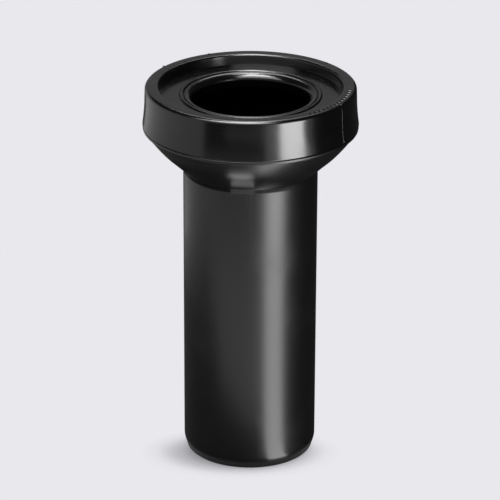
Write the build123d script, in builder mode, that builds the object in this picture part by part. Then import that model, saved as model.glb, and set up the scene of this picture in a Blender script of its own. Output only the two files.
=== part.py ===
from build123d import *
from math import asin, degrees, radians, tan
import os

# Straight toilet connector for a 90 mm soil pipe, standing on its plain end.
# Millimetres. The origin is the centre of the plain end and +Z is the axis.
# Both pieces are turned shapes: each is one section in the XZ plane, revolved about Z.

# Pipe: the plain end that goes into the next fitting
pipe_diameter = 90.0
pipe_wall = 3.5
pipe_length = 205.0
lead_in_length = 6.7
lead_in_depth = 2.0

# Bell: a short cone, then a round shoulder that ends at a thin flange
cone_angle = 47.5
cone_rise = 10.7
shoulder_rise = 16.8
shoulder_spread = 1.1
flange_inset = 0.2
flange_thickness = 2.1
mouth_radius = 24.0

# Snap ring and collar: the part of the bell that the rubber covers
snap_ring_diameter = 138.6
snap_ring_height = 3.0
snap_catch = 1.5
collar_height = 19.8
collar_wall = 3.4
collar_edge = 0.5

# Rubber outside: skirt and rim, with the play between rubber and collar
seat_gap = 0.2
skirt_foot_wall = 2.4
skirt_waist_wall = 2.4
skirt_foot_height = 0.8
skirt_flare_height = 17.4
skirt_edge = 0.5
rim_draft = 0.3
rim_height = 4.2
rim_outer_edge = 0.9
rim_inner_edge = 1.2

# Rubber inside: recess, membrane and the leg that lines the collar
rim_lining = 2.9
recess_depth = 6.6
recess_taper = 1.3
membrane_thickness = 3.0
leg_thickness = 3.0
leg_length = 10.9
leg_edge = 1.0

# Sealing lip: a rounded turn-down inside a small raised bead
lip_bore_diameter = 78.0
lip_round = 3.4
lip_crest_height = 0.5
lip_drop = 9.0
lip_root = 3.0
lip_tip = 1.6
lip_flare = 0.4
bead_offset = 7.4
bead_width = 2.4
bead_crown = 1.0
bead_height = 0.6
groove_depth = 0.3

# Radii and heights that follow
pipe_r = pipe_diameter / 2
bore_r = pipe_r - pipe_wall
snap_r = snap_ring_diameter / 2
collar_r = snap_r - snap_catch
collar_bore_r = collar_r - collar_wall

cone_top_z = pipe_length + cone_rise
cone_top_r = pipe_r + cone_rise * tan(radians(cone_angle))
shoulder_z = cone_top_z + shoulder_rise
shoulder_r = snap_r + shoulder_spread
skirt_r = snap_r + seat_gap + skirt_foot_wall
flange_r = skirt_r - flange_inset
flange_z = shoulder_z + flange_thickness
snap_z = flange_z + snap_ring_height
collar_top_z = snap_z + collar_height
rim_z = collar_top_z + rim_height

# The inside of the cone runs parallel to the outside, one wall away
throat_z = pipe_length + pipe_wall * tan(radians(cone_angle / 2))
mouth_z = throat_z + (collar_bore_r - bore_r) / tan(radians(cone_angle))


def corners(sketch, *points):
    """The sketch's corners nearest to the given points."""
    return [sketch.vertices().sort_by_distance(point)[0] for point in points]


# Rigid plastic body
with BuildPart() as pipe_body:
    with BuildSketch(Plane.XZ) as body_section:
        with BuildLine():
            pipe_and_cone = Polyline(
                (bore_r, 0),
                (pipe_r - lead_in_depth, 0),
                (pipe_r, lead_in_length),
                (pipe_r, pipe_length),
                (cone_top_r, cone_top_z),
            )
            shoulder = TangentArc(
                pipe_and_cone @ 1,
                (shoulder_r, shoulder_z),
                tangent=pipe_and_cone % 1,
            )
            Polyline(
                shoulder @ 1,
                (flange_r, shoulder_z),
                (flange_r, flange_z),
                (snap_r, flange_z),
                (snap_r, snap_z),
                (collar_r, snap_z),
                (collar_r, collar_top_z),
                (collar_bore_r, collar_top_z),
                (collar_bore_r, mouth_z),
                (bore_r, throat_z),
                pipe_and_cone @ 0,
            )
        make_face()
        fillet(corners(body_section, (collar_bore_r, mouth_z)), radius=mouth_radius)
        collar_edges = corners(
            body_section,
            (collar_r, collar_top_z),
            (collar_bore_r, collar_top_z),
        )
        chamfer(collar_edges, length=collar_edge)
    revolve(axis=Axis.Z)
pipe_body.part.label = "pipe_body"

# The rubber's places, taken from the collar that it grips
skirt_waist_r = collar_r + seat_gap + skirt_waist_wall
skirt_foot_z = flange_z + seat_gap
skirt_flare_z = skirt_foot_z + skirt_foot_height
skirt_waist_z = skirt_flare_z + skirt_flare_height
rim_outer_r = skirt_waist_r - rim_draft

leg_outer_r = collar_bore_r - seat_gap
leg_inner_r = leg_outer_r - leg_thickness
leg_foot_z = collar_top_z - leg_length
rim_inner_r = leg_outer_r - rim_lining
floor_r = rim_inner_r - recess_taper
floor_z = rim_z - recess_depth
ceiling_z = floor_z - membrane_thickness

lip_r = lip_bore_diameter / 2
lip_centre_r = lip_r + lip_round
lip_centre_z = floor_z + lip_crest_height - lip_round
lip_tip_r = lip_r + lip_flare
lip_tip_z = floor_z - lip_drop
bead_r = lip_r + bead_offset
groove_z = floor_z - groove_depth
groove_angle = degrees(asin((groove_z - lip_centre_z) / lip_round))

# Rubber lip seal, pulled over the collar
with BuildPart() as lip_seal:
    with BuildSketch(Plane.XZ) as seal_section:
        with BuildLine():
            lip_inside = Line((lip_tip_r, lip_tip_z), (lip_r, lip_centre_z))
            lip_crown = CenterArc(
                (lip_centre_r, lip_centre_z),
                lip_round,
                start_angle=180,
                arc_size=groove_angle - 180,
            )
            bead_to_rim = Polyline(
                lip_crown @ 1,
                (bead_r - bead_width / 2, groove_z),
                (bead_r - bead_crown / 2, floor_z + bead_height),
                (bead_r + bead_crown / 2, floor_z + bead_height),
                (bead_r + bead_width / 2, floor_z),
                (floor_r, floor_z),
                (rim_inner_r, rim_z),
                (rim_outer_r, rim_z),
                (skirt_waist_r, skirt_waist_z),
            )
            skirt_flare = TangentArc(
                bead_to_rim @ 1,
                (skirt_r, skirt_flare_z),
                tangent=bead_to_rim % 1,
            )
            Polyline(
                skirt_flare @ 1,
                (skirt_r, skirt_foot_z),
                (snap_r + seat_gap, skirt_foot_z),
                (snap_r + seat_gap, snap_z),
                (collar_r + seat_gap, snap_z),
                (collar_r + seat_gap, collar_top_z),
                (leg_outer_r, collar_top_z),
                (leg_outer_r, leg_foot_z),
                (leg_inner_r, leg_foot_z),
                (leg_inner_r, ceiling_z),
                (lip_r + lip_root, ceiling_z),
                (lip_tip_r + lip_tip, lip_tip_z),
                lip_inside @ 0,
            )
        make_face()
        chamfer(corners(seal_section, (rim_outer_r, rim_z)), length=rim_outer_edge)
        chamfer(corners(seal_section, (rim_inner_r, rim_z)), length=rim_inner_edge)
        leg_corners = corners(
            seal_section,
            (leg_inner_r, leg_foot_z),
            (leg_outer_r, leg_foot_z),
        )
        chamfer(leg_corners, length=leg_edge)
        chamfer(corners(seal_section, (skirt_r, skirt_foot_z)), length=skirt_edge)
    revolve(axis=Axis.Z)
lip_seal.part.label = "lip_seal"

os.makedirs("parts", exist_ok=True)
export_step(pipe_body.part, "parts/pipe_body.step")
export_step(lip_seal.part, "parts/lip_seal.step")
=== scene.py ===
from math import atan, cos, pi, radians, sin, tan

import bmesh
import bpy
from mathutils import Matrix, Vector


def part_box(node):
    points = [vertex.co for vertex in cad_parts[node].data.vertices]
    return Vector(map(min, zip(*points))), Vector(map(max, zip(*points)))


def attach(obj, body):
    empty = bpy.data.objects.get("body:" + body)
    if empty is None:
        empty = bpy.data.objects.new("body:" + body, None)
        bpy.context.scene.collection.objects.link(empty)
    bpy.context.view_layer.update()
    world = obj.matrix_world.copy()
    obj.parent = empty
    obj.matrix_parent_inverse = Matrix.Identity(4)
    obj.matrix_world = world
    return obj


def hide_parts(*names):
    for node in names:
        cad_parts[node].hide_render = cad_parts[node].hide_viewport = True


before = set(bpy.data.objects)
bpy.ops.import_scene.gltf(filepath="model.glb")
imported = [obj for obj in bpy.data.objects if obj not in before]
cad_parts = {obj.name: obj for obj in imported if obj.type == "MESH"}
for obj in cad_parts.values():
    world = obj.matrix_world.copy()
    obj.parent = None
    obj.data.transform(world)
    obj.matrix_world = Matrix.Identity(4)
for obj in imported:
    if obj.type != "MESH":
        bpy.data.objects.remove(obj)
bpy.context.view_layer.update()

# %% [markdown]
# A toilet connector is a short piece of black soil pipe with a bell on top and a rubber
# seal pulled over the bell. It stands on its plain end on a pale floor. Both parts are
# turned shapes. They could be stacked from cylinders and cones, but the joins would show,
# so the lesson draws each one as a lathe hand would: half a section, some rounded corners,
# and one turn round the axis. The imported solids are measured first, and the outer sizes
# come from them.

MM = 0.001
body_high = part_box("pipe_body")[1]
seal_low, seal_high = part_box("lip_seal")

# %% [markdown]
# The camera comes first, because every look is judged through it. It could be placed by
# eye, but the rim, the base and the straight sides of the photograph fix it: a long lens
# about two metres away, looking down at 23 degrees. The shift of half a pixel and the
# fraction of a degree of roll are what that fit left over.

# %% Camera
IMAGE_WIDTH = 500
HALF_PIXEL = 0.5
FOCAL_PIXELS = 2995.5
SENSOR_WIDTH = 36
CAMERA_PLACE = Vector((0.00023, -1.8629, 0.9373))
CAMERA_PITCH = 23.098
CAMERA_ROLL = 0.230


def added(name, data):
    """A new object in the scene, at the origin."""
    made = bpy.data.objects.new(name, data)
    bpy.context.scene.collection.objects.link(made)
    return made


camera = added("camera", bpy.data.cameras.new("camera"))
camera.data.sensor_width = SENSOR_WIDTH
camera.data.lens = FOCAL_PIXELS / IMAGE_WIDTH * SENSOR_WIDTH
camera.data.shift_x = -HALF_PIXEL / IMAGE_WIDTH
camera.data.shift_y = HALF_PIXEL / IMAGE_WIDTH
tilt = Matrix.Rotation(radians(90 - CAMERA_PITCH), 4, "X")
roll = Matrix.Rotation(radians(CAMERA_ROLL), 4, "Z")
camera.matrix_world = Matrix.Translation(CAMERA_PLACE) @ tilt @ roll
bpy.context.scene.camera = camera
print("lens", round(camera.data.lens, 1), "mm")

# %% [markdown]
# A finish is a graph of shader nodes. It could be wired up one link at a time, but sums
# are easier to read. This small class holds one socket, so that `1 - mask * 0.3` adds the
# Math nodes by itself. Anything that isn't plain arithmetic goes through `node`, which
# makes one node, sets its options and fills its sockets.


# %% A socket that can do sums
class Socket:
    """One output of a shader node, for use in sums."""

    def __init__(self, tree, output):
        self.tree = tree
        self.output = output

    def maths(self, operation, first, second):
        """Adds the Math node for one operation on two sockets or numbers."""
        return node(self.tree, "ShaderNodeMath", {"operation": operation}, {0: first, 1: second})

    def __add__(self, other):
        return self.maths("ADD", self, other)

    def __sub__(self, other):
        return self.maths("SUBTRACT", self, other)

    def __mul__(self, other):
        return self.maths("MULTIPLY", self, other)

    def __rsub__(self, other):
        return self.maths("SUBTRACT", other, self)

    __radd__ = __add__
    __rmul__ = __mul__


def grey(level, tint=(1, 1, 1)):
    """A colour from one brightness, with an optional tint."""
    return (level * tint[0], level * tint[1], level * tint[2], 1)


def set_stops(elements, stops):
    """Gives a colour ramp its (place, brightness) stops."""
    while len(elements) < len(stops):
        elements.new(0.5)
    for element, (place, level) in zip(elements, stops):
        element.position = place
        element.color = grey(level)


def node(tree, kind, settings, sockets, output=0):
    """Adds one node: its settings first, then the values or links of its sockets."""
    made = tree.nodes.new(kind)
    for name, value in settings.items():
        if name == "stops":
            set_stops(made.color_ramp.elements, value)
        else:
            setattr(made, name, value)
    for name, value in sockets.items():
        if isinstance(value, Socket):
            tree.links.new(value.output, made.inputs[name])
        else:
            made.inputs[name].default_value = value
    return Socket(tree, made.outputs[output]) if made.outputs else None


def new_tree(owner):
    """The empty node tree of a material or a world."""
    owner.use_nodes = True
    owner.node_tree.nodes.clear()
    return owner.node_tree


print("sums for shader sockets are ready")

# %% [markdown]
# The plastic and the rubber need the same few steps: noise at some scale, a ramp that
# keeps only its peaks, a mix of two blacks, and a glossy surface with a little bump. Each
# finish could spell these out, but as short functions they leave only the numbers that
# make the two differ: the scale of the noise, the gloss and the depth of the bump.


# %% Steps that both finishes share
def speckle(tree, place, scale, detail, roughness):
    """Noise from 0 to 1 over a surface; a larger scale gives finer specks."""
    return node(
        tree,
        "ShaderNodeTexNoise",
        {},
        {"Vector": place, "Scale": scale, "Detail": detail, "Roughness": roughness},
        "Fac",
    )


def ramp(tree, value, *stops):
    """A brightness that follows a value through (place, brightness) stops."""
    return node(tree, "ShaderNodeValToRGB", {"stops": stops}, {"Fac": value})


def blend(tree, share, first, second):
    """The colour that lies at a share of the way from the first to the second."""
    return node(
        tree,
        "ShaderNodeMix",
        {"data_type": "RGBA"},
        {"Factor": share, "A": first, "B": second},
        "Result",
    )


def moulded_surface(tree, colour, roughness, relief, strength, distance):
    """Ends a finish: the relief as a bump, the shader and its output."""
    bump = node(
        tree,
        "ShaderNodeBump",
        {},
        {"Strength": strength, "Distance": distance, "Height": relief},
        "Normal",
    )
    surface = node(
        tree,
        "ShaderNodeBsdfPrincipled",
        {},
        {"Base Color": colour, "Roughness": roughness, "Normal": bump},
    )
    node(tree, "ShaderNodeOutputMaterial", {}, {"Surface": surface})


print("shared steps for the finishes are ready")

# %% [markdown]
# Black polyethylene isn't a flat black. Its mould leaves a fine, even grain that spreads
# the highlights, handling adds faint dull patches, and a few hair scratches run along the
# pipe. A picture of the surface could be wrapped round it, but noise on Object coordinates
# has no seam, keeps its scale in metres and stays put when the camera moves. Noise that is
# stretched along Z turns its specks into lengthwise hairlines.

# %% Satin plastic
PLASTIC_BLACK = grey(0.0022)
WORN_PLASTIC_BLACK = grey(0.0036, (1, 1, 1.04))
HAIRLINE_STRETCH = (900, 900, 14)


def black_plastic():
    """Moulded black polyethylene: satin, with grain, scuffs and lengthwise hairlines."""
    material = bpy.data.materials.new("satin black polyethylene")
    tree = new_tree(material)
    place = node(tree, "ShaderNodeTexCoord", {}, {}, "Object")
    long_place = node(
        tree,
        "ShaderNodeMapping",
        {},
        {"Vector": place, "Scale": HAIRLINE_STRETCH},
    )
    patches = speckle(tree, place, scale=22, detail=3, roughness=0.55)
    grain = speckle(tree, place, scale=1600, detail=2, roughness=0.6)
    streaks = speckle(tree, long_place, scale=1, detail=2, roughness=0.5)
    hairlines = ramp(tree, streaks, (0.70, 0), (0.76, 1))
    scuffs = ramp(tree, patches, (0.52, 0), (0.68, 1))
    colour = blend(tree, patches, PLASTIC_BLACK, WORN_PLASTIC_BLACK)
    roughness = 0.31 + scuffs * 0.06 + hairlines * 0.08 + grain * 0.04
    relief = grain * 0.6 + hairlines * 0.5 + patches * 0.8
    moulded_surface(tree, colour, roughness, relief, strength=0.05, distance=0.0004)
    return material


plastic = black_plastic()
print(plastic.name, len(plastic.node_tree.nodes), "nodes")

# %% [markdown]
# The rubber is denser and smoother than the plastic. Its highlights keep their edges, its
# surface isn't quite even, and a dull bloom comes and goes over it. A plain gloss black
# could stand for it, but then every highlight would be as clean as on glass. Slow noise
# gives the swell and the bloom, and fine noise gives the pores.

# %% Gloss rubber
RUBBER_BLACK = grey(0.0022)
BLOOM_BLACK = grey(0.0036, (1, 1, 1.05))


def black_rubber():
    """Moulded black rubber: semi-gloss, slightly uneven, with a dull bloom."""
    material = bpy.data.materials.new("gloss black rubber")
    tree = new_tree(material)
    place = node(tree, "ShaderNodeTexCoord", {}, {}, "Object")
    swell = speckle(tree, place, scale=38, detail=2, roughness=0.5)
    pores = speckle(tree, place, scale=1300, detail=3, roughness=0.6)
    bloom = ramp(tree, swell, (0.45, 0), (0.70, 1))
    colour = blend(tree, bloom, RUBBER_BLACK, BLOOM_BLACK)
    roughness = 0.15 + bloom * 0.05 + pores * 0.05
    relief = swell + pores * 0.10
    moulded_surface(tree, colour, roughness, relief, strength=0.08, distance=0.0008)
    return material


rubber = black_rubber()
print(rubber.name, len(rubber.node_tree.nodes), "nodes")

# %% [markdown]
# A turned piece needs three tools. `section` draws half of it as one flat face in the XZ
# plane. `round_corner` bevels a corner of that face, which gives a true arc. `turn` cuts
# the long sides into short ones, throws the face away and spins its outline round Z. A
# Screw modifier could turn it too, but the operator leaves a finished, closed mesh.

# %% Draw, round and turn a section
TURN_STEPS = 192
SAME_PLACE = 1e-7


def section(*corners):
    """A flat face in the XZ plane through (radius, height) corners in millimetres."""
    mesh = bmesh.new()
    mesh.faces.new([mesh.verts.new((r * MM, 0, z * MM)) for r, z in corners])
    return mesh


def nearest(mesh, r, z):
    """The vertex nearest to a place on the section."""
    place = Vector((r, 0, z)) * MM
    return min(mesh.verts, key=lambda vertex: (vertex.co - place).length)


def round_corner(mesh, r, z, reach, segments):
    """Rounds one corner; the arc starts and ends at reach millimetres from it."""
    bmesh.ops.bevel(
        mesh,
        geom=[nearest(mesh, r, z)],
        offset=reach * MM,
        offset_type="OFFSET",
        affect="VERTICES",
        segments=segments,
        profile=0.5,
        material=-1,
    )


def arc_reach(radius, turned):
    """How far from its corner an arc starts, for a radius and the angle it turns."""
    return radius * tan(radians(turned) / 2)


def turn(mesh, longest):
    """Spins the section's outline round Z, with no side longer than longest."""
    bmesh.ops.delete(mesh, geom=mesh.faces[:], context="FACES_ONLY")
    for edge in mesh.edges[:]:
        cuts = int(edge.calc_length() / (longest * MM))
        if cuts:
            bmesh.ops.subdivide_edges(mesh, edges=[edge], cuts=cuts)
    bmesh.ops.spin(
        mesh,
        geom=mesh.verts[:] + mesh.edges[:],
        cent=(0, 0, 0),
        axis=(0, 0, 1),
        angle=2 * pi,
        steps=TURN_STEPS,
        use_merge=True,
    )
    bmesh.ops.remove_doubles(mesh, verts=mesh.verts, dist=SAME_PLACE)
    bmesh.ops.recalc_face_normals(mesh, faces=mesh.faces)


print("a turned piece has", TURN_STEPS, "steps")

# %% [markdown]
# A mesh becomes a piece when it is an object with a finish and rides on the part. Flat
# shading would show its facets, and smooth shading alone would blur its true corners into
# false highlights. So it is smooth, except across edges that turn more than 35 degrees.

# %% Make a piece of a mesh
SMOOTH_BELOW = 35
SMOOTH_ALL = 180


def finished(name, mesh, material, smooth_below=SMOOTH_BELOW):
    """Makes an object of a bmesh, smooth below an angle, riding on the part."""
    data = bpy.data.meshes.new(name)
    mesh.to_mesh(data)
    mesh.free()
    data.shade_smooth()
    data.set_sharp_from_angle(angle=radians(smooth_below))
    data.materials.append(material)
    piece = added(name, data)
    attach(piece, "root")
    print(name, len(data.polygons), "faces")
    return piece


print("corners of more than", SMOOTH_BELOW, "degrees stay sharp")

# %% [markdown]
# The body is one moulding with a wall of 3.5 mm. From the floor up: a lead-in chamfer that
# helps it into a socket, the straight pipe, a short cone, a rounded shoulder, a thin flange
# that is flush with the rubber, the snap ring that the rubber clicks over, and the collar
# that it is pulled onto. The last two are hidden and could be left out, but they hold the
# seal, so they are drawn. Sizes are in millimetres. Those named _R are radii, and those
# named TOP or HEIGHT are measured up from the floor.

# %% Sizes of the plastic body
PIPE_R = 45.0
BORE_R = 41.5
PIPE_TOP = 205.0
CHAMFER_HEIGHT = 6.7
CHAMFER_DEPTH = 2.0
CONE_ANGLE = 47.5
CONE_TOP = 215.7
SHOULDER_R = 70.4
SHOULDER_TOP = 232.5
FLANGE_R = body_high.x / MM
FLANGE_TOP = 234.6
SNAP_R = 69.3
SNAP_TOP = 237.6
COLLAR_R = 67.8
COLLAR_BORE_R = 64.4
COLLAR_TOP = body_high.z / MM
WALL = PIPE_R - BORE_R

cone_slope = tan(radians(CONE_ANGLE))
cone_top_r = PIPE_R + (CONE_TOP - PIPE_TOP) * cone_slope
throat = PIPE_TOP + WALL * tan(radians(CONE_ANGLE / 2))
mouth = throat + (COLLAR_BORE_R - BORE_R) / cone_slope
print("inside, the cone runs from height", round(throat, 1), "to", round(mouth, 1))

# %% [markdown]
# The shoulder is one arc. It leaves the cone smoothly and ends under the flange. It could
# be drawn point by point, but it is simpler to find the corner where its two tangents
# cross and to round that corner as any other.

# %% The shoulder's corner
chord_angle = atan((SHOULDER_R - cone_top_r) / (SHOULDER_TOP - CONE_TOP))
shoulder_turn = 2 * (radians(CONE_ANGLE) - chord_angle)
chord = Vector((SHOULDER_R - cone_top_r, SHOULDER_TOP - CONE_TOP)).length
shoulder_reach = chord / 2 / cos(shoulder_turn / 2)
shoulder_r = cone_top_r + shoulder_reach * sin(radians(CONE_ANGLE))
shoulder_z = CONE_TOP + shoulder_reach * cos(radians(CONE_ANGLE))
print("shoulder corner at radius", round(shoulder_r, 1), "height", round(shoulder_z, 1))

# %% [markdown]
# Now the body's section is drawn, from the foot of the bore outwards, up the outside and
# back down the inside. A sharp corner catches no light, so each one that is seen is rounded.
# The shoulder's arc stops just short of the next corner, which keeps the two apart.

# %% Plastic body
MOUTH_ROUND = 24
THROAT_ROUND = 5
CONE_FOOT_ROUND = 2.6
SHOULDER_SHARE = 0.98
BODY_LONGEST = 5.0

body_mesh = section(
    (BORE_R, 0),
    (PIPE_R - CHAMFER_DEPTH, 0),
    (PIPE_R, CHAMFER_HEIGHT),
    (PIPE_R, PIPE_TOP),
    (shoulder_r, shoulder_z),
    (SHOULDER_R, SHOULDER_TOP),
    (FLANGE_R, SHOULDER_TOP),
    (FLANGE_R, FLANGE_TOP),
    (SNAP_R, FLANGE_TOP),
    (SNAP_R, SNAP_TOP),
    (COLLAR_R, SNAP_TOP),
    (COLLAR_R, COLLAR_TOP),
    (COLLAR_BORE_R, COLLAR_TOP),
    (COLLAR_BORE_R, mouth),
    (BORE_R, throat),
)
cone_foot_reach = arc_reach(CONE_FOOT_ROUND, CONE_ANGLE)
throat_reach = arc_reach(THROAT_ROUND, CONE_ANGLE)
mouth_reach = arc_reach(MOUTH_ROUND, CONE_ANGLE)
shoulder_arc = shoulder_reach * SHOULDER_SHARE
round_corner(body_mesh, shoulder_r, shoulder_z, reach=shoulder_arc, segments=24)
round_corner(body_mesh, COLLAR_BORE_R, mouth, reach=mouth_reach, segments=16)
round_corner(body_mesh, BORE_R, throat, reach=throat_reach, segments=6)
round_corner(body_mesh, PIPE_R, PIPE_TOP, reach=cone_foot_reach, segments=8)
round_corner(body_mesh, SHOULDER_R, SHOULDER_TOP, reach=0.5, segments=3)
round_corner(body_mesh, FLANGE_R, SHOULDER_TOP, reach=0.5, segments=4)
round_corner(body_mesh, FLANGE_R, FLANGE_TOP, reach=0.5, segments=4)
round_corner(body_mesh, PIPE_R, CHAMFER_HEIGHT, reach=1.6, segments=5)
round_corner(body_mesh, PIPE_R - CHAMFER_DEPTH, 0, reach=0.6, segments=4)
round_corner(body_mesh, BORE_R, 0, reach=0.3, segments=3)
round_corner(body_mesh, COLLAR_R, COLLAR_TOP, reach=0.5, segments=4)
round_corner(body_mesh, COLLAR_BORE_R, COLLAR_TOP, reach=0.5, segments=4)
turn(body_mesh, BODY_LONGEST)
moulded_body = finished("moulded_body", body_mesh, plastic)
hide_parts("pipe_body")

# %% [markdown]
# The seal is one rubber moulding. Outside it is a skirt that flares a little where it
# grips the snap ring, and a flat rim. Inside there is a shallow recess, a flat membrane
# with a small round bead, and the lip that turns down into the bell. A deep slot takes the
# collar, and its foot is wider to sit over the snap ring. The sizes are worked out from
# the collar and the snap ring with one gap, because rubber is moulded to fit what it grips.

# %% Sizes of the rubber seal
GAP = 0.2
RIM_TOP = seal_high.z / MM
SKIRT_FOOT = seal_low.z / MM
SKIRT_R = seal_high.x / MM
SKIRT_FLARE = SKIRT_FOOT + 0.8
WAIST = SKIRT_FLARE + 17.4
WAIST_R = COLLAR_R + GAP + 2.4
FLARE_START = SKIRT_FLARE + 9.0
FLARE_START_R = WAIST_R + 0.1
RIM_R = WAIST_R - 0.3
LEG_OUTER_R = COLLAR_BORE_R - GAP
LEG_INNER_R = LEG_OUTER_R - 3.0
LEG_FOOT = COLLAR_TOP - 10.9
RIM_INNER_R = LEG_OUTER_R - 2.9
RECESS_FLOOR = RIM_TOP - 6.6
RECESS_FLOOR_R = RIM_INNER_R - 1.3
MEMBRANE_FOOT = RECESS_FLOOR - 3.0
LIP_R = 38.4
LIP_ROUND = 5.3
LIP_CREST = RECESS_FLOOR + 0.5
LIP_TIP = RECESS_FLOOR - 9.0
LIP_TIP_R = LIP_R + 0.6
LIP_BACK_R = LIP_R + 2.6
LIP_ROOT_R = LIP_R + 3.6
GROOVE = RECESS_FLOOR - 0.3
BEAD_R = 46.0
BEAD_TOP = RECESS_FLOOR + 1.0
BEAD_HALF = 1.5
CROWN_HALF = 1.2
GROOVE_R = BEAD_R - 1.7
LIP_END_R = GROOVE_R - 0.4
print("the lip is", 2 * LIP_R, "mm across, the recess", round(2 * RIM_INNER_R, 1), "mm")

# %% [markdown]
# The seal's corners are listed from the tip of the lip, up to its crest, across the bead
# and the recess, over the rim, down the skirt and back through the slot. Arcs could be
# drawn between them, but the same corner tool gives every round, the curl of the lip among
# them. The seal is glossier than the body, so its sides are cut shorter, which keeps the
# highlights smooth.

# %% Rubber seal
SEAL_LONGEST = 1.6

seal_mesh = section(
    (LIP_TIP_R, LIP_TIP),
    (LIP_R, LIP_CREST),
    (LIP_END_R, LIP_CREST),
    (GROOVE_R, GROOVE),
    (BEAD_R - BEAD_HALF, GROOVE),
    (BEAD_R - CROWN_HALF, BEAD_TOP),
    (BEAD_R + CROWN_HALF, BEAD_TOP),
    (BEAD_R + BEAD_HALF, RECESS_FLOOR),
    (RECESS_FLOOR_R, RECESS_FLOOR),
    (RIM_INNER_R, RIM_TOP),
    (RIM_R, RIM_TOP),
    (WAIST_R, WAIST),
    (FLARE_START_R, FLARE_START),
    (SKIRT_R, SKIRT_FLARE),
    (SKIRT_R, SKIRT_FOOT),
    (SNAP_R + GAP, SKIRT_FOOT),
    (SNAP_R + GAP, SNAP_TOP),
    (COLLAR_R + GAP, SNAP_TOP),
    (COLLAR_R + GAP, COLLAR_TOP),
    (LEG_OUTER_R, COLLAR_TOP),
    (LEG_OUTER_R, LEG_FOOT),
    (LEG_INNER_R, LEG_FOOT),
    (LEG_INNER_R, MEMBRANE_FOOT),
    (LIP_ROOT_R, MEMBRANE_FOOT),
    (LIP_BACK_R, LIP_TIP),
)
round_corner(seal_mesh, LIP_R, LIP_CREST, reach=LIP_ROUND, segments=14)
round_corner(seal_mesh, LIP_END_R, LIP_CREST, reach=0.25, segments=3)
round_corner(seal_mesh, BEAD_R - CROWN_HALF, BEAD_TOP, reach=1.0, segments=8)
round_corner(seal_mesh, BEAD_R + CROWN_HALF, BEAD_TOP, reach=1.0, segments=8)
round_corner(seal_mesh, RIM_INNER_R, RIM_TOP, reach=1.1, segments=7)
round_corner(seal_mesh, RIM_R, RIM_TOP, reach=2.2, segments=10)
round_corner(seal_mesh, FLARE_START_R, FLARE_START, reach=8.8, segments=12)
round_corner(seal_mesh, SKIRT_R, SKIRT_FOOT, reach=0.7, segments=5)
round_corner(seal_mesh, SNAP_R + GAP, SKIRT_FOOT, reach=0.5, segments=4)
round_corner(seal_mesh, LEG_OUTER_R, LEG_FOOT, reach=0.9, segments=4)
round_corner(seal_mesh, LEG_INNER_R, LEG_FOOT, reach=0.9, segments=4)
round_corner(seal_mesh, LEG_INNER_R, MEMBRANE_FOOT, reach=0.8, segments=4)
round_corner(seal_mesh, LIP_ROOT_R, MEMBRANE_FOOT, reach=1.0, segments=4)
round_corner(seal_mesh, LIP_BACK_R, LIP_TIP, reach=0.6, segments=4)
round_corner(seal_mesh, LIP_TIP_R, LIP_TIP, reach=0.6, segments=4)
turn(seal_mesh, SEAL_LONGEST)
rubber_seal = finished("rubber_seal", seal_mesh, rubber)
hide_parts("lip_seal")

# %% [markdown]
# Rubber comes out of its mould with small marks, and they are what stops a turned shape
# from looking like a diagram. Two thin ridges run down the skirt where the mould closed.
# They could be a bump in the finish, but real height gives them an outline. Each mark is
# drawn facing the camera, bevelled and turned to its place, and its back is sunk a little
# into the rubber.

# %% Tools for moulding marks
SUNK = 0.4
BEVEL_ABOVE = radians(50)
RIDGE_WIDTH = 0.5
RIDGE_HEIGHT = 0.22
RIDGE_BEVEL = 0.12
RIDGE_LINE = (
    (RIM_R + 0.05, RIM_TOP - 2.4),
    (WAIST_R, WAIST),
    (WAIST_R + 0.35, FLARE_START),
    (SKIRT_R - 0.35, SKIRT_FLARE + 2.6),
    (SKIRT_R, SKIRT_FLARE),
)


def turned_about(angle):
    """The turn that takes a place in front of the camera round to the right."""
    return Matrix.Rotation(radians(angle), 3, "Z")


def place_mark(mesh, made, angle, bevel):
    """Bevels a mark's sharp edges, turns it to its angle and adds it to the mesh."""
    bmesh.ops.recalc_face_normals(made, faces=made.faces)
    bmesh.ops.bevel(
        made,
        geom=[edge for edge in made.edges if edge.calc_face_angle() > BEVEL_ABOVE],
        offset=bevel * MM,
        affect="EDGES",
        segments=2,
        profile=0.5,
        material=-1,
    )
    bmesh.ops.rotate(made, cent=(0, 0, 0), matrix=turned_about(angle), verts=made.verts)
    moved = bpy.data.meshes.new("mark")
    made.to_mesh(moved)
    made.free()
    mesh.from_mesh(moved)
    bpy.data.meshes.remove(moved)


def ridge(mesh, angle):
    """A thin ridge down the skirt at an angle to the right of the camera."""
    fin = bmesh.new()
    points = [fin.verts.new((0, -(r - SUNK) * MM, z * MM)) for r, z in RIDGE_LINE]
    edges = [fin.edges.new(pair) for pair in zip(points, points[1:])]
    grown = bmesh.ops.extrude_edge_only(fin, edges=edges)
    outer = [item for item in grown["geom"] if isinstance(item, bmesh.types.BMVert)]
    bmesh.ops.translate(fin, verts=outer, vec=(0, -(SUNK + RIDGE_HEIGHT) * MM, 0))
    bmesh.ops.solidify(fin, geom=fin.faces[:], thickness=RIDGE_WIDTH * MM)
    place_mark(mesh, fin, angle, RIDGE_BEVEL)


def block(mesh, angle, radius, height, size, bevel):
    """A small bevelled block round a place; its size is (across, deep, high)."""
    made = bmesh.new()
    bmesh.ops.create_cube(made, size=MM)
    bmesh.ops.scale(made, vec=size, verts=made.verts)
    bmesh.ops.translate(made, verts=made.verts, vec=(0, -radius * MM, height * MM))
    place_mark(mesh, made, angle, bevel)


print("a ridge stands", RIDGE_HEIGHT, "mm above the rubber")

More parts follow.
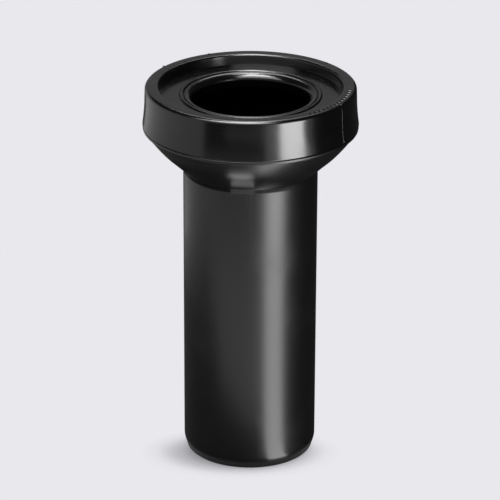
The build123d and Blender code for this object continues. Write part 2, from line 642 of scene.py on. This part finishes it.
# %% [markdown]
# Each ridge has a blob of flash at its foot and a small nub where it meets the rim. A row
# of plain raised ticks sits on the rim, with a few pips left by air vents and one short
# bar near the recess. Every mark could be a piece of its own, but they came out of one
# mould, so they are one mesh. They are too small to show corners, so they are shaded
# smooth all over. Angles are degrees to the right of the camera.

# %% Moulding marks
RIDGE_ANGLES = (58, -122)
FLASH_BLOB = (1.5, 1.1, 1.6)
RIM_NUB = (0.9, 1.6, 0.7)
TICK = (1.0, 3.0, 1.2)
TICK_R = 66.2
FIRST_TICK = 36
TICK_SPACING = 3.4
TICK_COUNT = 14
VENT_PIP = (1.3, 1.3, 1.2)
VENT_R = 67.4
VENT_ANGLES = (-8, -4, 29, 131, 205, 262)
BAR = (2.6, 0.9, 0.8)
BAR_ANGLE = -135
BAR_R = RIM_INNER_R + 2.3
LOW_CENTRE = RIM_TOP - 0.1

marks_mesh = bmesh.new()
for angle in RIDGE_ANGLES:
    ridge(marks_mesh, angle)
    block(marks_mesh, angle, SKIRT_R - 0.1, SKIRT_FOOT + 1.6, FLASH_BLOB, bevel=0.4)
    block(marks_mesh, angle, RIM_R - 1.2, LOW_CENTRE, RIM_NUB, bevel=0.2)
for count in range(TICK_COUNT):
    angle = FIRST_TICK + TICK_SPACING * count
    block(marks_mesh, angle, TICK_R, RIM_TOP, TICK, bevel=0.35)
for angle in VENT_ANGLES:
    block(marks_mesh, angle, VENT_R, RIM_TOP, VENT_PIP, bevel=0.4)
block(marks_mesh, BAR_ANGLE, BAR_R, LOW_CENTRE, BAR, bevel=0.25)
finished("moulding_marks", marks_mesh, rubber, SMOOTH_ALL)

# %% [markdown]
# The part stands on a plain pale floor with a soft contact shadow. A floor that is simply
# lit would fade across the picture. So the camera sees an even glow of the floor's own
# colour, and its real shading shows only close round the foot, in an oval that is wider
# than it is deep. Every other ray meets the lit floor. The glow goes by the place on the
# floor, so it stays where it is when the camera moves. Its ramp counts in decimetres,
# because a ramp's places run from 0 to 1.

# %% Floor
FLOOR_HALF = 6.0
FLOOR_COLOUR = (0.815, 0.807, 0.847, 1)
SHADE_CENTRE = (-0.006, -0.020)
SHADE_STRETCH = 1.75
SHADE_STOPS = ((0.34, 0.85), (0.46, 0.55), (0.58, 0.15), (0.70, 0.0))
DECIMETRES = 10


def plain_floor_finish():
    """A matt finish that shows its shading only close round the foot."""
    material = bpy.data.materials.new("pale matt floor")
    tree = new_tree(material)
    lit = node(
        tree,
        "ShaderNodeBsdfPrincipled",
        {},
        {"Base Color": FLOOR_COLOUR, "Roughness": 1.0, "Specular IOR Level": 0.0},
    )
    glow = node(tree, "ShaderNodeEmission", {}, {"Color": FLOOR_COLOUR, "Strength": 1.0})
    place = node(tree, "ShaderNodeTexCoord", {}, {}, "Object")
    x, y = SHADE_CENTRE
    oval = node(
        tree,
        "ShaderNodeMapping",
        {},
        {
            "Vector": place,
            "Location": (-x, -y * SHADE_STRETCH, 0),
            "Scale": (1, SHADE_STRETCH, 0),
        },
    )
    away = node(tree, "ShaderNodeVectorMath", {"operation": "LENGTH"}, {0: oval}, "Value")
    shade = ramp(tree, away * DECIMETRES, *SHADE_STOPS)
    seen = node(tree, "ShaderNodeLightPath", {}, {}, "Is Camera Ray")
    share = seen * (1 - shade)
    surface = node(tree, "ShaderNodeMixShader", {}, {"Fac": share, 1: lit, 2: glow})
    node(tree, "ShaderNodeOutputMaterial", {}, {"Surface": surface})
    return material


floor_mesh = bmesh.new()
bmesh.ops.create_grid(floor_mesh, x_segments=1, y_segments=1, size=FLOOR_HALF)
floor_data = bpy.data.meshes.new("floor")
floor_mesh.to_mesh(floor_data)
floor_mesh.free()
floor_data.materials.append(plain_floor_finish())
added("floor", floor_data)
print("floor", 2 * FLOOR_HALF, "m wide")

# %% [markdown]
# The light itself is plain: an even fill from all round and one softbox overhead. The fill
# could come from four lamps, but a white world has no edges and throws no shadow of its
# own. The softbox is small and high, so the shadow stays close under the part. Neither the
# camera nor the gloss sees it, because the highlights are shaped by the cards that follow.

# %% World and overhead softbox
WORLD_STRENGTH = 0.5
WHITE = (1.0, 1.0, 1.0, 1)
SOFTBOX_PLACE = Vector((0.2, -0.35, 5.0))
SOFTBOX_TARGET = Vector((0, 0, 0.1))
SOFTBOX_SIDE = 0.6
SOFTBOX_POWER = 125

world = bpy.data.worlds.new("studio")
bpy.context.scene.world = world
world_tree = new_tree(world)
fill = node(
    world_tree,
    "ShaderNodeBackground",
    {},
    {"Color": WHITE, "Strength": WORLD_STRENGTH},
)
node(world_tree, "ShaderNodeOutputWorld", {}, {"Surface": fill})

lamp = bpy.data.lights.new("overhead softbox", "AREA")
lamp.shape = "RECTANGLE"
lamp.size = SOFTBOX_SIDE
lamp.size_y = SOFTBOX_SIDE
lamp.energy = SOFTBOX_POWER
softbox = added("overhead softbox", lamp)
aim = (SOFTBOX_TARGET - SOFTBOX_PLACE).to_track_quat("-Z", "Y").to_matrix().to_4x4()
softbox.matrix_world = Matrix.Translation(SOFTBOX_PLACE) @ aim
softbox.visible_camera = False
softbox.visible_glossy = False
print("softbox of", SOFTBOX_POWER, "W at", SOFTBOX_PLACE.z, "m")

# %% [markdown]
# A glossy black object shows little colour of its own: what the eye reads is the room
# that it reflects. Windows and walls could be built, but a product photographer stands
# cards round the object instead, and each highlight is then set by one card's angle,
# height and brightness. Glossy rays alone can see the cards, so they shape the highlights
# and leave the floor evenly lit. A card is swept round the part, and a panel lies flat.

# %% Reflection cards
CARD_STEPS = 24
RING_STEPS = 48
ALL_ROUND = 359.9


def reflected(name, mesh, strength, blocks=False):
    """An object that only glossy rays can see, glowing evenly; it may block light too."""
    material = bpy.data.materials.new(name)
    tree = new_tree(material)
    light = node(tree, "ShaderNodeEmission", {}, {"Strength": strength})
    node(tree, "ShaderNodeOutputMaterial", {}, {"Surface": light})
    data = bpy.data.meshes.new(name)
    mesh.to_mesh(data)
    mesh.free()
    data.materials.append(material)
    glow = added(name, data)
    glow.visible_camera = False
    glow.visible_diffuse = False
    glow.visible_shadow = blocks
    print(name, "of brightness", strength)


def card(name, first, last, outline, strength, steps=CARD_STEPS):
    """A card swept round the part, from first to last degrees right of the camera.

    Its outline is (distance, height) in metres.
    """
    mesh = bmesh.new()
    points = [mesh.verts.new((0, -distance, height)) for distance, height in outline]
    for pair in zip(points, points[1:]):
        mesh.edges.new(pair)
    bmesh.ops.rotate(mesh, cent=(0, 0, 0), matrix=turned_about(first), verts=mesh.verts)
    bmesh.ops.spin(
        mesh,
        geom=mesh.verts[:] + mesh.edges[:],
        cent=(0, 0, 0),
        axis=(0, 0, 1),
        angle=radians(last - first),
        steps=steps,
    )
    reflected(name, mesh, strength)


def panel(name, outline, strength, height):
    """A flat card at one height, through (degrees, distance) corners in metres."""
    mesh = bmesh.new()
    corners = [turned_about(angle) @ Vector((0, -distance, height)) for angle, distance in outline]
    mesh.faces.new([mesh.verts.new(corner) for corner in corners])
    reflected(name, mesh, strength)


print("a card has", CARD_STEPS, "steps, and a whole ring", RING_STEPS)

# %% [markdown]
# First the room: a dark ceiling and floor keep the blacks black, and a low grey wall in
# front lifts the pipe a little. Then the big sources above, two in front and two behind,
# which draw the bright arcs on the rim, the lip and the bead. One large source would make
# all the arcs alike, so they are separate cards.

# %% Room and cards above
CEILING = ((1.6, 0.75), (1.3, 1.6), (0.05, 1.9))
DARK_FLOOR = ((0.047, 0.0005), (1.6, 0.0005))
LOW_WALL = ((1.5, 0.0005), (1.5, 0.2))

card("dark ceiling", 0, ALL_ROUND, CEILING, strength=0.03, steps=RING_STEPS)
card("dark floor", 0, ALL_ROUND, DARK_FLOOR, strength=0.08, steps=RING_STEPS)
card("front wall", -48, 15, LOW_WALL, strength=0.30)
card("upper softbox", -66, 28, ((0.66, 1.25), (0.05, 1.4)), strength=22)
card("lower softbox", -66, 28, ((1.05, 0.85), (0.66, 1.25)), strength=5)
card("top strip", 145, 210, ((0.05, 1.4), (0.4, 1.35)), strength=22)
card("rear softbox", 162, 200, ((0.4, 1.35), (1.2, 1.15)), strength=4)

# %% [markdown]
# A window on the right gives the long bright band down the pipe and the skirt. A lamp
# could give it, but it would light the floor as well. The band has a dim near edge, a
# bright pane and a dim far edge, so it is three cards side by side, with a fourth above
# them. A black flag beyond it ends the band, and a pale wall on the left and a grey one
# behind fill the other sides.

# %% Cards round the sides
PANE = ((0.62, 0.001), (0.62, 0.24))
UPPER_PANE = ((0.62, 0.262), (0.62, 0.42))
NEAR_FRAME = ((0.64, 0.001), (0.64, 0.24))
BLACK_FLAG = ((0.047, 0.0008), (1.0, 0.0008), (1.0, 0.8))
PALE_WALL = ((0.36, 0.001), (0.9, 0.001), (0.9, 0.35))
GREY_WALL = ((1.5, 0.001), (1.5, 1.0))

card("window top", 37, 48, UPPER_PANE, strength=5.0)
card("window edge", 15, 31, NEAR_FRAME, strength=1.2)
card("right window", 29.5, 55, PANE, strength=14.5)
card("window far edge", 55, 66, PANE, strength=0.5)
card("right flag", 66, 165, BLACK_FLAG, strength=0.03)
card("left wall", -150, -48, PALE_WALL, strength=0.68)
card("back wall", 165, 210, GREY_WALL, strength=0.27)

# %% [markdown]
# The cone faces down and mirrors the pipe and the floor, which would turn it grey. On the
# real part it is almost black, with one pale slip in front. A darker finish on the cone
# would change the part, so a thin black ring lies just below it, open in front. In that
# opening the slip is three small shapes: a foot against the pipe, a dimmer middle and a
# bright head.

# %% Cards under the cone
FLAG_HEIGHT = 0.2015
SLIP_HEIGHT = 0.2016
HEAD_HEIGHT = 0.2017
FLAG = ((0.0463, FLAG_HEIGHT), (0.061, FLAG_HEIGHT))
SLIP_FOOT = ((0.0463, SLIP_HEIGHT), (0.0485, SLIP_HEIGHT))
SLIP = ((0.0485, SLIP_HEIGHT), (0.0556, SLIP_HEIGHT))
SLIP_HEAD = (
    (-20.0, 0.0572),
    (-13.0, 0.0548),
    (-3.0, 0.0548),
    (4.0, 0.0572),
    (-2.0, 0.0602),
    (-14.0, 0.0602),
)

card("flag under the cone", 4, 342, FLAG, strength=0.02, steps=RING_STEPS)
card("slip foot under the cone", -17, 3, SLIP_FOOT, strength=1.2)
card("slip under the cone", -15, 1, SLIP, strength=0.5)
panel("slip head under the cone", SLIP_HEAD, strength=2.6, height=HEAD_HEIGHT)

# %% [markdown]
# Low on the pipe the gloss mirrors the floor itself. There it shows the window's light,
# which lies on the floor as a patch that widens with distance, and the paler floor in
# front and on the left. The real floor could be left in view of glossy rays, but then it
# would brighten the whole pipe, so three panels lie just above the dark one.

# %% Panels on the floor
PANEL_HEIGHT = 0.0009
WINDOW_FOOT = (
    (19.5, 0.05),
    (19.6, 0.06),
    (21.3, 0.10),
    (22.3, 0.20),
    (23.8, 0.60),
    (56.0, 0.60),
    (52.0, 0.20),
    (47.0, 0.10),
    (40.1, 0.06),
    (40.1, 0.05),
)
NEAR_FLOOR = (
    (-74.0, 0.333),
    (-53.0, 0.262),
    (-48.0, 0.193),
    (-30.0, 0.158),
    (-3.0, 0.123),
    (14.6, 0.127),
    (16.3, 0.200),
    (17.4, 0.440),
    (-39.0, 0.540),
)
FAR_FLOOR = (
    (-39.0, 0.540),
    (17.4, 0.440),
    (17.7, 1.050),
    (-22.0, 1.080),
)

panel("right window foot", WINDOW_FOOT, strength=6.3, height=PANEL_HEIGHT)
panel("near floor", NEAR_FLOOR, strength=1.0, height=PANEL_HEIGHT)
panel("far floor", FAR_FLOOR, strength=0.36, height=PANEL_HEIGHT)

# %% [markdown]
# The mouth of a real connector looks black, because what light falls down the pipe stays
# there. Rendered, the bright studio fills it with grey. A darker finish inside would
# change the part, so a disc of black paper hangs in the mouth instead. Its edge reaches
# into the flesh of the lip, so that no light slips past it.

# %% Black paper in the mouth
PAPER_R = 0.0402
PAPER_HEIGHT = 0.2464
PAPER_SEGMENTS = 64

paper = bmesh.new()
bmesh.ops.create_circle(paper, cap_ends=True, radius=PAPER_R, segments=PAPER_SEGMENTS)
bmesh.ops.translate(paper, verts=paper.verts, vec=(0, 0, PAPER_HEIGHT))
reflected("black paper in the mouth", paper, strength=0, blocks=True)

# %% [markdown]
# The Standard view shows each colour as it is written, where the default view would dull
# the floor.

bpy.context.scene.view_settings.view_transform = "Standard"
